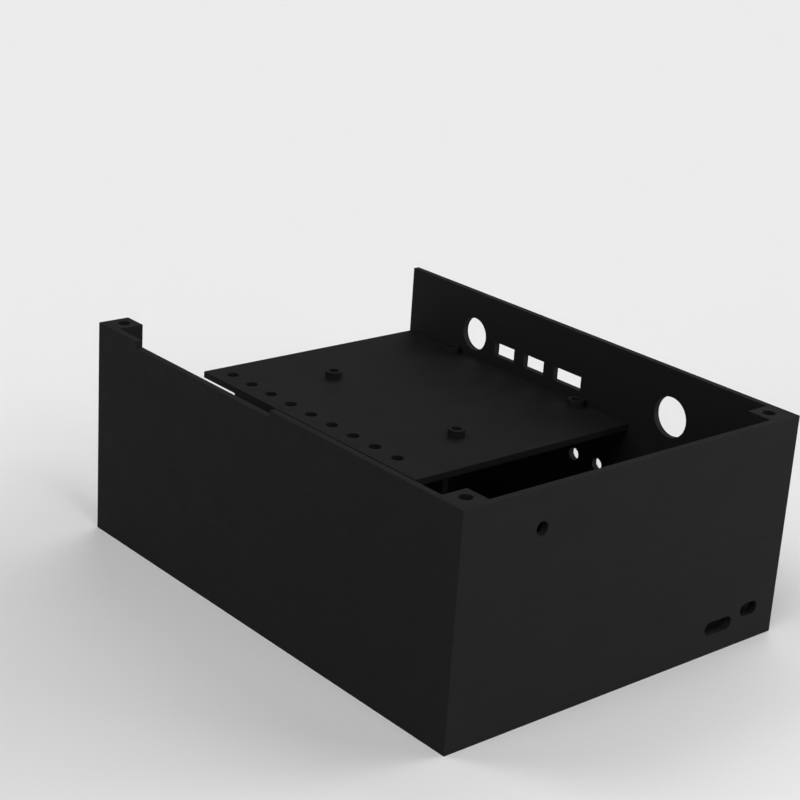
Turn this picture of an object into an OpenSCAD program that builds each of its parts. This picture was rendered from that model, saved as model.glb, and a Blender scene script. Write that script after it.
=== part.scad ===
// Open case base for a single-board computer and a small disk drive.
// Floor, walls, corner posts, board shelf and divider are one printed piece.
// The origin is at the centre of the underside. X runs across the case, from the
// notched wall to the port wall, and Y runs from the end wall to the open end.

/* [Case] */
// Inside width, between the notched wall and the port wall
bay_w = 120; // [110:1:200]
// Inside length, from the end wall to the open end
bay_l = 160; // [140:1:260]
// Inside height, from the floor to the rim
bay_h = 64; // [60:1:110]
// Thickness of the three walls
wall_t = 2; // [1.2:0.2:4]
// Thickness of the floor
floor_t = 2; // [1.2:0.2:4]

/* [Rim notch] */
// Length of the notch in the notched wall's rim
notch_l = 65; // [20:1:110]
// Depth of the notch below the rim
notch_h = 2; // [0.5:0.5:12]
// Distance from the open end to the notch
notch_end_gap = 20; // [12:1:60]

/* [Corner posts] */
// Side of a square post, measured from the inner faces of its walls
post_w = 8; // [6:0.5:12]
// Diameter of the blind screw hole in a post
post_hole_d = 3.8; // [2.5:0.1:4.5]
// Depth of the screw hole in a post
post_hole_l = 20; // [8:1:50]

/* [Board shelf] */
// Width of the shelf, from the port wall to its free edge
shelf_w = 84; // [82:1:100]
// Length of the shelf, from the open end to its inner edge
shelf_l = 102; // [100:1:120]
// Thickness of the shelf
shelf_t = 2; // [1.2:0.2:4]
// Clear height of the drive bay, from the floor to the shelf
drive_bay_h = 40; // [34:0.5:44]

/* [Row of holes in the shelf] */
// Number of holes in the row
row_count = 9; // [1:1:9]
// Distance from one hole to the next
row_pitch = 10; // [6:0.5:10]
// Diameter of the holes in the row
row_hole_d = 3.8; // [2:0.1:5]
// Distance from the shelf's free edge to the middle of the row
row_edge_gap = 6; // [4:0.5:8]
// Distance from the shelf's inner edge to the first hole of the row
row_first_gap = 15; // [5:0.5:18]

/* [Divider under the shelf] */
// Clear width of the drive bay, from the port wall to the divider
drive_bay_w = 70; // [60:1:73]
// Thickness of the divider
divider_t = 2; // [1.2:0.2:4]
// Distance from the shelf's inner edge back to the divider
divider_setback = 2; // [0:0.5:20]

/* [Board standoffs] */
// Spacing of the board's holes across the case
board_holes_w = 49; // [30:0.5:60]
// Spacing of the board's holes along the case
board_holes_l = 58; // [50:0.5:70]
// Distance from the port wall to the nearer two holes
board_wall_gap = 3; // [2:0.1:8]
// Distance from the shelf's inner edge to the first two holes
board_first_gap = 19.5; // [8:0.5:32]
// Height of a standoff above the shelf
standoff_h = 2.25; // [1:0.25:5]
// Outer diameter of a standoff
standoff_d = 5.2; // [4.6:0.1:6.2]
// Diameter of the screw hole through a standoff and the shelf
standoff_hole_d = 3.2; // [2:0.1:3.5]

/* [Port windows] */
// Height of the three windows
window_h = 4.5; // [3:0.1:6]
// Height of the windows' middle above the standoffs
window_z = 3.75; // [3.5:0.25:6]
// Width of the power window
power_w = 12; // [8:0.1:14]
// Distance from the first board hole to the middle of the power window
power_y = 7.6; // [5:0.1:9]
// Width of the two video windows
video_w = 9; // [7:0.1:12]
// Distance from the first board hole to the middle of the first video window
video_1_y = 22.6; // [20:0.1:24]
// Distance from the first board hole to the middle of the second video window
video_2_y = 36.1; // [34:0.1:37]
// Diameter of the round window for the sound jack
jack_d = 10.8; // [7:0.1:12]
// Distance from the first board hole to the middle of the jack window
jack_y = 50.6; // [48:0.1:56]
// Height of the jack window's middle above the standoffs
jack_z = 5.75; // [5.5:0.25:9]

/* [Power inlet and lamp holes] */
// Diameter of the power inlet hole in the port wall
inlet_d = 12.5; // [8:0.1:14]
// Distance from the end wall to the middle of the inlet hole
inlet_y = 42.2; // [20:0.1:46]
// Height of the inlet hole's middle above the floor
inlet_z = 49.3; // [30:0.1:52]
// Diameter of the two lamp holes in the port wall
lamp_d = 4; // [2:0.1:6]
// Distance from the end wall to the first lamp hole
lamp_y = 69; // [20:0.5:90]
// Distance between the two lamp holes
lamp_pitch = 10; // [7:0.5:40]
// Height of the lamp holes above the floor
lamp_z = 25; // [6:0.5:30]

/* [End wall openings] */
// Diameter of the button hole in the end wall
button_d = 4; // [2:0.1:8]
// Distance from the notched wall to the button hole
button_x = 25; // [16:0.5:90]
// Height of the button hole above the floor
button_z = 53; // [30:0.5:55]
// Height of the two cable slots, whose ends are round
slot_h = 4; // [2:0.1:5]
// Length of the long cable slot
long_slot_w = 11; // [6:0.1:14]
// Distance from the port wall to the middle of the long slot
long_slot_x = 21.5; // [20:0.5:80]
// Height of the long slot's middle above the floor
long_slot_z = 6; // [4:0.5:30]
// Length of the short cable slot
short_slot_w = 7; // [6:0.1:9]
// Distance from the port wall to the middle of the short slot
short_slot_x = 9; // [5:0.5:9]
// Height of the short slot's middle above the floor
short_slot_z = 8; // [4:0.5:30]

/* [Hidden] */
case_colour = "#242424";
$fn = 64;
// How far a cut runs past the face that it opens
over = 0.5;

// Outside size
case_w = bay_w + 2 * wall_t;
case_l = bay_l + wall_t;
case_h = bay_h + floor_t;

// Inner faces of the walls, and the open end
notched_x = -bay_w / 2;
port_x = bay_w / 2;
end_wall_y = wall_t - case_l / 2;
open_y = case_l / 2;

// Shelf, and the places that are measured from it
shelf_x = port_x - shelf_w;
shelf_y = open_y - shelf_l;
shelf_z = floor_t + drive_bay_h;
board_z = shelf_z + shelf_t + standoff_h;
board_x = port_x - board_wall_gap - board_holes_w;
board_y = shelf_y + board_first_gap;
divider_x = port_x - drive_bay_w - divider_t;
divider_y = shelf_y + divider_setback;

// Lower corner of each post in plan: two at the end wall and one at the open end
POSTS = [
    [notched_x, end_wall_y],
    [port_x - post_w, end_wall_y],
    [notched_x, open_y - post_w]
];

// Width and place along the wall of each rectangular window
WINDOWS = [[power_w, power_y], [video_w, video_1_y], [video_w, video_2_y]];

// Walls and corner posts in plan, open at one end
module wall_plan() {
    difference() {
        translate([-case_w / 2, -case_l / 2]) square([case_w, case_l]);
        translate([notched_x, end_wall_y]) square([bay_w, bay_l + over]);
    }
    for (corner = POSTS) translate(corner) square(post_w);
}

// Floor, with the walls and posts standing on it
module tray() {
    linear_extrude(floor_t) square([case_w, case_l], center = true);
    translate([0, 0, floor_t]) linear_extrude(bay_h) wall_plan();
}

// Step in the rim of the notched wall
module rim_notch() {
    translate([-case_w / 2 - over, open_y - notch_end_gap - notch_l, case_h - notch_h])
        cube([wall_t + 2 * over, notch_l, notch_h + over]);
}

// Blind screw holes, one down the middle of each post
module post_holes() {
    for (corner = POSTS)
        translate([corner.x + post_w / 2, corner.y + post_w / 2, case_h - post_hole_l])
            cylinder(d = post_hole_d, h = post_hole_l + over);
}

// Places its children at the board's four holes
module at_board_holes() {
    for (x = [0, board_holes_w], y = [0, board_holes_l])
        translate([board_x + x, board_y + y]) children();
}

// Shelf in plan, with the row of holes beside its free edge
module shelf_plan() {
    difference() {
        translate([shelf_x, shelf_y]) square([shelf_w, shelf_l]);
        for (i = [0 : row_count - 1])
            translate([shelf_x + row_edge_gap, shelf_y + row_first_gap + i * row_pitch])
                circle(d = row_hole_d);
    }
}

// Round standoffs, on which the board rests
module standoffs() {
    at_board_holes()
        translate([0, 0, board_z - standoff_h]) cylinder(d = standoff_d, h = standoff_h);
}

// Screw holes through the standoffs and the shelf under them
module standoff_holes() {
    at_board_holes()
        translate([0, 0, shelf_z - over])
            cylinder(d = standoff_hole_d, h = shelf_t + standoff_h + 2 * over);
}

// Shelf for the board, joined to the port wall
module board_shelf() {
    translate([0, 0, shelf_z]) linear_extrude(shelf_t) shelf_plan();
    standoffs();
}

// Upright rib that carries the shelf and closes the side of the drive bay
module divider() {
    translate([divider_x, divider_y, floor_t])
        cube([divider_t, open_y - divider_y, drive_bay_h]);
}

// Openings of the port wall, drawn in its plane as seen from outside
module port_wall_openings() {
    for (window = WINDOWS)
        translate([board_y + window[1], board_z + window_z])
            square([window[0], window_h], center = true);
    translate([board_y + jack_y, board_z + jack_z]) circle(d = jack_d);
    translate([end_wall_y + inlet_y, floor_t + inlet_z]) circle(d = inlet_d);
    for (i = [0, 1])
        translate([end_wall_y + lamp_y + i * lamp_pitch, floor_t + lamp_z]) circle(d = lamp_d);
}

// Slot with full round ends
module slot(w) {
    square([w - slot_h, slot_h], center = true);
    for (side = [-1, 1]) translate([side * (w - slot_h) / 2, 0]) circle(d = slot_h);
}

// Openings of the end wall, drawn in its plane as seen from outside
module end_wall_openings() {
    translate([notched_x + button_x, floor_t + button_z]) circle(d = button_d);
    translate([port_x - long_slot_x, floor_t + long_slot_z]) slot(long_slot_w);
    translate([port_x - short_slot_x, floor_t + short_slot_z]) slot(short_slot_w);
}

// Carries a drawing through the port wall
module through_port_wall() {
    translate([port_x - over, 0, 0])
        rotate([90, 0, 90]) linear_extrude(wall_t + 2 * over) children();
}

// Carries a drawing through the end wall
module through_end_wall() {
    translate([0, end_wall_y + over, 0])
        rotate([90, 0, 0]) linear_extrude(wall_t + 2 * over) children();
}

module case_body() {
    color(case_colour)
        difference() {
            union() {
                tray();
                board_shelf();
                divider();
            }
            rim_notch();
            post_holes();
            standoff_holes();
            through_port_wall() port_wall_openings();
            through_end_wall() end_wall_openings();
        }
}

case_body();
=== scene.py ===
"""Studio scene for the printed base of a computer case.

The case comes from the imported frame. This file gives it the finish of matte printed plastic, and
builds the floor, the lamps and the camera. Lengths are in metres. X runs from the notched wall to
the port wall, Y from the end wall to the open end, and Z is up.
"""

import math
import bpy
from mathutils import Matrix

bl_info = {
    "name": "Printed Computer Case",
    "version": (1, 0, 0),
    "blender": (4, 5, 0),
    "location": "3D View > Sidebar > Case",
    "description": "Matte printed plastic for the base of a computer case, and a pale studio for it",
    "category": "Object",
}

import bpy
import numpy as np
from mathutils import Matrix, Vector

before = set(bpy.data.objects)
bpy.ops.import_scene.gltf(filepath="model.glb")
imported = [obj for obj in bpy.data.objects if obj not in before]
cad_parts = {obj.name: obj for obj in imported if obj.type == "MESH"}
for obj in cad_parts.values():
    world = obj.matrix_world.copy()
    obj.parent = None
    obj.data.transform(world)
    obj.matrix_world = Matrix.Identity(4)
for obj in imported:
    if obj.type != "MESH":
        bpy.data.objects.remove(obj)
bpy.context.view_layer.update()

CASE_NODE = "case_body"
MM = 0.001

# A face counts as level where the upright part of its normal is longer than this
LEVEL_NORMAL = 0.9

# Matte printed plastic: its usual index of refraction, with far less shine than smooth plastic
PLASTIC_IOR = 1.46
PLASTIC_SPECULAR_LEVEL = 0.05
DULL_ROUGHNESS, SLEEK_ROUGHNESS = 0.78, 0.62

# The frame width, in millimetres, that a lens's focal length is given for
FRAME_WIDTH = 36.0

# Numbers of a Mix node's sockets, which have the same names for every kind of value
MIX_NUMBER_A, MIX_NUMBER_B = 2, 3
MIX_COLOUR_A, MIX_COLOUR_B, MIX_COLOUR_RESULT = 6, 7, 2


class PrintFinishSettings(bpy.types.PropertyGroup):
    """Sizes and colours of the printed plastic."""

    plastic_dark: bpy.props.StringProperty(
        name="Darker plastic", description="sRGB hex colour of the darkest beads", default="#181818"
    )
    plastic_light: bpy.props.StringProperty(
        name="Lighter plastic", description="sRGB hex colour of the palest beads", default="#1b1b1b"
    )
    layer_height: bpy.props.FloatProperty(
        name="Layer height",
        description="Height of one printed layer",
        default=0.2 * MM,
        min=0.05 * MM,
        precision=6,
        unit="LENGTH",
    )
    layers_per_line: bpy.props.IntProperty(
        name="Layers per line",
        description="How many layers are drawn as one line, as one alone is finer than a pixel",
        default=4,
        min=1,
    )
    bead_width: bpy.props.FloatProperty(
        name="Bead width",
        description="Width of one bead of filament on a level face",
        default=0.4 * MM,
        min=0.1 * MM,
        precision=6,
        unit="LENGTH",
    )
    beads_per_line: bpy.props.IntProperty(
        name="Beads per line",
        description="How many beads are drawn as one line, as one alone is finer than a pixel",
        default=2,
        min=1,
    )
    relief: bpy.props.FloatProperty(
        name="Relief",
        description="Height of a drawn line above the groove beside it",
        default=0.012 * MM,
        min=0.0,
        precision=6,
        unit="LENGTH",
    )
    patch_size: bpy.props.FloatProperty(
        name="Patch size",
        description="Size of the faint patches where the filament came out duller or paler",
        default=12 * MM,
        min=1 * MM,
        precision=4,
        unit="LENGTH",
    )


class StudioSettings(bpy.types.PropertyGroup):
    """Sizes and colours of the floor, the light and the camera."""

    paper: bpy.props.StringProperty(
        name="Paper", description="sRGB hex colour of the floor", default="#e4e4e4"
    )
    horizon: bpy.props.StringProperty(
        name="Horizon", description="sRGB hex colour of what is seen past the floor", default="#ebebeb"
    )
    floor_radius: bpy.props.FloatProperty(
        name="Floor radius", description="Radius of the round floor", default=12.0, unit="LENGTH"
    )
    backdrop_top: bpy.props.FloatProperty(
        name="Backdrop top",
        description="Angle above the ground up to which gloss and glass see the backdrop in full",
        default=math.radians(8),
        unit="ROTATION",
    )
    ceiling_edge: bpy.props.FloatProperty(
        name="Ceiling edge",
        description="Angle above the ground from which gloss and glass see a black ceiling",
        default=math.radians(16),
        unit="ROTATION",
    )
    light_level: bpy.props.FloatProperty(
        name="Light level", description="Strength of all lamps together", default=1.0, subtype="FACTOR"
    )
    camera_place: bpy.props.FloatVectorProperty(
        name="Camera place",
        description="Where the camera stands",
        default=(-342.3 * MM, -376.1 * MM, 241.0 * MM),
        subtype="TRANSLATION",
        unit="LENGTH",
    )
    heading: bpy.props.FloatProperty(
        name="Heading",
        description="Direction in which the camera looks, turned from +X towards +Y",
        default=math.radians(48.815),
        unit="ROTATION",
    )
    pitch: bpy.props.FloatProperty(
        name="Pitch",
        description="How far the camera looks up, or down where it is negative",
        default=math.radians(-20.057),
        unit="ROTATION",
    )
    roll: bpy.props.FloatProperty(
        name="Roll",
        description="How far the camera is turned about its line of sight",
        default=math.radians(3.845),
        unit="ROTATION",
    )
    lens: bpy.props.FloatProperty(
        name="Lens", description="Focal length for a frame 36 mm wide", default=84.925, unit="CAMERA"
    )


# The soft lamps: azimuth from +X towards +Y, elevation, spread of the light, all in degrees, and strength
LAMPS = {
    "right_lamp": (345, 10, 30, 2.8),
    "front_right_lamp": (320, 15, 30, 0.9),
    "front_lamp": (265, 25, 30, 1.15),
    "left_lamp": (195, 50, 35, 1.0),
    "low_left_lamp": (180, 10, 30, 0.7),
    "back_lamp": (125, 50, 25, 0.7),
    "back_right_lamp": (30, 45, 50, 1.05),
}


def linear(hex_colour):
    """Linear RGBA of an sRGB hex colour such as #1c1c1c."""
    channels = [int(hex_colour[i : i + 2], 16) / 255 for i in (1, 3, 5)]
    return [c / 12.92 if c <= 0.04045 else ((c + 0.055) / 1.055) ** 2.4 for c in channels] + [1.0]


def add_node(tree, kind, inputs=None, output=0, **settings):
    """Adds a node and returns the output asked for, or the node if it has none.

    Settings are the node's own attributes. Inputs go by socket name or number, and each is a value
    or the output that feeds it. For a tuple of output names, a list of those outputs comes back.
    """
    node = tree.nodes.new(kind)
    for name, value in settings.items():
        setattr(node, name, value)
    for socket, value in (inputs or {}).items():
        if isinstance(value, bpy.types.NodeSocket):
            tree.links.new(value, node.inputs[socket])
        else:
            node.inputs[socket].default_value = value
    if isinstance(output, tuple):
        return [node.outputs[name] for name in output]
    return node.outputs[output] if node.outputs else node


def new_material(name):
    """An empty node material and its tree."""
    material = bpy.data.materials.new(name)
    material.use_nodes = True
    material.node_tree.nodes.clear()
    return material, material.node_tree


def printed_filament(settings):
    """Matte black PLA filament, laid down bead by bead.

    The eye sees a dark, even, almost shineless plastic. Close up, its walls are ribbed by level
    layer lines, and its level faces by slanting beads. One layer or bead is finer than a pixel, so
    several are drawn as one line.
    """
    material, tree = new_material("matte_printed_filament")
    place, facing = add_node(tree, "ShaderNodeTexCoord", output=("Object", "Normal"))
    x, y, z = add_node(tree, "ShaderNodeSeparateXYZ", {0: place}, ("X", "Y", "Z"))
    facing_up = add_node(tree, "ShaderNodeSeparateXYZ", {0: facing}, "Z")

    # 1 on level faces and 0 on walls and slopes
    tilt = add_node(tree, "ShaderNodeMath", {0: facing_up}, operation="ABSOLUTE")
    is_level = add_node(tree, "ShaderNodeMath", {0: tilt, 1: LEVEL_NORMAL}, operation="GREATER_THAN")

    # Lines counted up the walls, and slantwise across the level faces
    layer_pitch = settings.layer_height * settings.layers_per_line
    bead_pitch = settings.bead_width * settings.beads_per_line
    layer_count = add_node(tree, "ShaderNodeMath", {0: z, 1: layer_pitch}, operation="DIVIDE")
    slant = add_node(tree, "ShaderNodeMath", {0: x, 1: y}, operation="ADD")
    bead_count = add_node(
        tree, "ShaderNodeMath", {0: slant, 1: bead_pitch * math.sqrt(2)}, operation="DIVIDE"
    )
    count = add_node(
        tree,
        "ShaderNodeMix",
        {"Factor": is_level, MIX_NUMBER_A: layer_count, MIX_NUMBER_B: bead_count},
        data_type="FLOAT",
    )

    # Each line has a round crest between two sharp grooves, like half of a sine wave
    angle = add_node(tree, "ShaderNodeMath", {0: count, 1: math.pi}, operation="MULTIPLY")
    wave = add_node(tree, "ShaderNodeMath", {0: angle}, operation="SINE")
    crest = add_node(tree, "ShaderNodeMath", {0: wave}, operation="ABSOLUTE")
    bump = add_node(
        tree, "ShaderNodeBump", {"Height": crest, "Distance": settings.relief}, "Normal"
    )

    # Each line has its own faint tone, and the filament has faint duller and paler patches
    line_number = add_node(tree, "ShaderNodeMath", {0: count}, operation="FLOOR")
    line_tone = add_node(
        tree, "ShaderNodeTexWhiteNoise", {"W": line_number}, "Value", noise_dimensions="1D"
    )
    patches = add_node(
        tree,
        "ShaderNodeTexNoise",
        {"Vector": place, "Scale": 1 / settings.patch_size, "Detail": 4.0, "Roughness": 0.6},
    )
    both = add_node(tree, "ShaderNodeMath", {0: line_tone, 1: patches}, operation="ADD")
    tone = add_node(tree, "ShaderNodeMath", {0: both, 1: 2.0}, operation="DIVIDE")
    colour = add_node(
        tree,
        "ShaderNodeMix",
        {
            "Factor": tone,
            MIX_COLOUR_A: linear(settings.plastic_dark),
            MIX_COLOUR_B: linear(settings.plastic_light),
        },
        MIX_COLOUR_RESULT,
        data_type="RGBA",
    )
    roughness = add_node(
        tree,
        "ShaderNodeMapRange",
        {"Value": patches, "To Min": DULL_ROUGHNESS, "To Max": SLEEK_ROUGHNESS},
    )
    shader = add_node(
        tree,
        "ShaderNodeBsdfPrincipled",
        {
            "Base Color": colour,
            "Roughness": roughness,
            "Normal": bump,
            "IOR": PLASTIC_IOR,
            "Specular IOR Level": PLASTIC_SPECULAR_LEVEL,
        },
    )
    add_node(tree, "ShaderNodeOutputMaterial", {"Surface": shader})
    return material


def studio_paper(settings):
    """Pale seamless studio paper: flat, with no gloss."""
    material, tree = new_material("matte_studio_paper")
    shader = add_node(
        tree,
        "ShaderNodeBsdfPrincipled",
        {"Base Color": linear(settings.paper), "Roughness": 1.0, "Specular IOR Level": 0.0},
    )
    add_node(tree, "ShaderNodeOutputMaterial", {"Surface": shader})
    return material


def pale_horizon(settings):
    """A pale backdrop all round, which adds no light of its own.

    The eye sees it in the floor's tone. Gloss and glass see it too, from the ground up to its top.
    Above that they see it fade into a black ceiling.
    """
    world = bpy.data.worlds.new("pale_horizon")
    world.use_nodes = True
    tree = world.node_tree
    tree.nodes.clear()
    camera, gloss, glass = add_node(
        tree,
        "ShaderNodeLightPath",
        output=("Is Camera Ray", "Is Glossy Ray", "Is Transmission Ray"),
    )
    direction = add_node(tree, "ShaderNodeTexCoord", output="Generated")
    height = add_node(tree, "ShaderNodeSeparateXYZ", {0: direction}, "Z")
    below_ceiling = add_node(
        tree,
        "ShaderNodeMapRange",
        {
            "Value": height,
            "From Min": math.sin(settings.backdrop_top),
            "From Max": math.sin(settings.ceiling_edge),
            "To Min": 1.0,
            "To Max": 0.0,
        },
    )
    mirrored = add_node(tree, "ShaderNodeMath", {0: gloss, 1: glass}, operation="MAXIMUM")
    mirrored = add_node(tree, "ShaderNodeMath", {0: mirrored, 1: below_ceiling}, operation="MULTIPLY")
    seen = add_node(tree, "ShaderNodeMath", {0: camera, 1: mirrored}, operation="MAXIMUM")
    light = add_node(
        tree, "ShaderNodeBackground", {"Color": linear(settings.horizon), "Strength": seen}
    )
    add_node(tree, "ShaderNodeOutputWorld", {"Surface": light})
    return world


def round_sheet(name, radius, cells):
    """A flat round sheet of cells x cells quads, with no pole at its middle.

    A square grid u, v from -1 to 1 is pressed into a circle: x = u sqrt(1 - v^2 / 2) and
    y = v sqrt(1 - u^2 / 2), both times the radius.
    """
    side = np.linspace(-1, 1, cells + 1)
    u, v = np.meshgrid(side, side)
    x = radius * u * np.sqrt(1 - v**2 / 2)
    y = radius * v * np.sqrt(1 - u**2 / 2)
    points = np.stack([x, y, np.zeros_like(x)], axis=-1).reshape(-1, 3)
    corner = np.arange((cells + 1) ** 2).reshape(cells + 1, cells + 1)
    quads = np.stack([corner[:-1, :-1], corner[:-1, 1:], corner[1:, 1:], corner[1:, :-1]], axis=-1)
    mesh = bpy.data.meshes.new(name)
    mesh.from_pydata(points, [], quads.reshape(-1, 4).tolist())
    return bpy.data.objects.new(name, mesh)


def add_lamp(name, azimuth, elevation, spread, strength):
    """A far soft lamp that shines from that azimuth and elevation, in degrees."""
    data = bpy.data.lights.new(name, "SUN")
    data.energy = strength
    data.angle = math.radians(spread)
    lamp = bpy.data.objects.new(name, data)
    turn, rise = math.radians(azimuth), math.radians(elevation)
    towards = Vector((math.cos(turn) * math.cos(rise), math.sin(turn) * math.cos(rise), math.sin(rise)))
    lamp.rotation_mode = "QUATERNION"
    lamp.rotation_quaternion = towards.to_track_quat("Z", "Y")
    bpy.context.scene.collection.objects.link(lamp)


def add_camera(settings):
    """A camera that looks along the heading and pitch, then turns by the roll."""
    data = bpy.data.cameras.new("camera")
    data.lens = settings.lens
    data.sensor_width = FRAME_WIDTH
    data.clip_end = 2 * settings.floor_radius
    camera = bpy.data.objects.new("camera", data)
    quarter = math.pi / 2
    camera.matrix_world = (
        Matrix.Translation(settings.camera_place)
        @ Matrix.Rotation(settings.heading - quarter, 4, "Z")
        @ Matrix.Rotation(settings.pitch + quarter, 4, "X")
        @ Matrix.Rotation(settings.roll, 4, "Z")
    )
    bpy.context.scene.collection.objects.link(camera)
    bpy.context.scene.camera = camera


class CASE_OT_body(bpy.types.Operator):
    """Gives the case base its printed plastic"""

    bl_idname = "case.body"
    bl_label = "Case base"

    def execute(self, context):
        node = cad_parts[CASE_NODE]
        node.data.materials.clear()
        node.data.materials.append(printed_filament(context.scene.print_finish))
        return {"FINISHED"}


class CASE_OT_studio(bpy.types.Operator):
    """Builds the floor, the lamps, the horizon and the camera"""

    bl_idname = "case.studio"
    bl_label = "Studio"

    def execute(self, context):
        scene = context.scene
        settings = scene.studio
        floor = round_sheet("floor", settings.floor_radius, cells=32)
        floor.data.materials.append(studio_paper(settings))
        scene.collection.objects.link(floor)
        for name, (azimuth, elevation, spread, strength) in LAMPS.items():
            add_lamp(name, azimuth, elevation, spread, strength * settings.light_level)
        scene.world = pale_horizon(settings)
        add_camera(settings)
        scene.view_settings.view_transform = "Standard"
        return {"FINISHED"}


class CASE_PT_panel(bpy.types.Panel):
    """Lists the settings and the operators"""

    bl_idname = "CASE_PT_panel"
    bl_label = "Computer case"
    bl_space_type = "VIEW_3D"
    bl_region_type = "UI"
    bl_category = "Case"

    def draw(self, context):
        for settings in (context.scene.print_finish, context.scene.studio):
            box = self.layout.box()
            for name in settings.__annotations__:
                box.prop(settings, name)
        for operator in (CASE_OT_body, CASE_OT_studio):
            self.layout.operator(operator.bl_idname)


CLASSES = (PrintFinishSettings, StudioSettings, CASE_OT_body, CASE_OT_studio, CASE_PT_panel)


def register():
    """Makes the classes and their settings known to Blender."""
    for cls in CLASSES:
        bpy.utils.register_class(cls)
    bpy.types.Scene.print_finish = bpy.props.PointerProperty(type=PrintFinishSettings)
    bpy.types.Scene.studio = bpy.props.PointerProperty(type=StudioSettings)


def unregister():
    """Takes back what register did."""
    del bpy.types.Scene.studio
    del bpy.types.Scene.print_finish
    for cls in reversed(CLASSES):
        bpy.utils.unregister_class(cls)


def main():
    """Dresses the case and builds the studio."""
    register()
    bpy.ops.case.body()
    bpy.ops.case.studio()


if __name__ == "__main__":
    main()
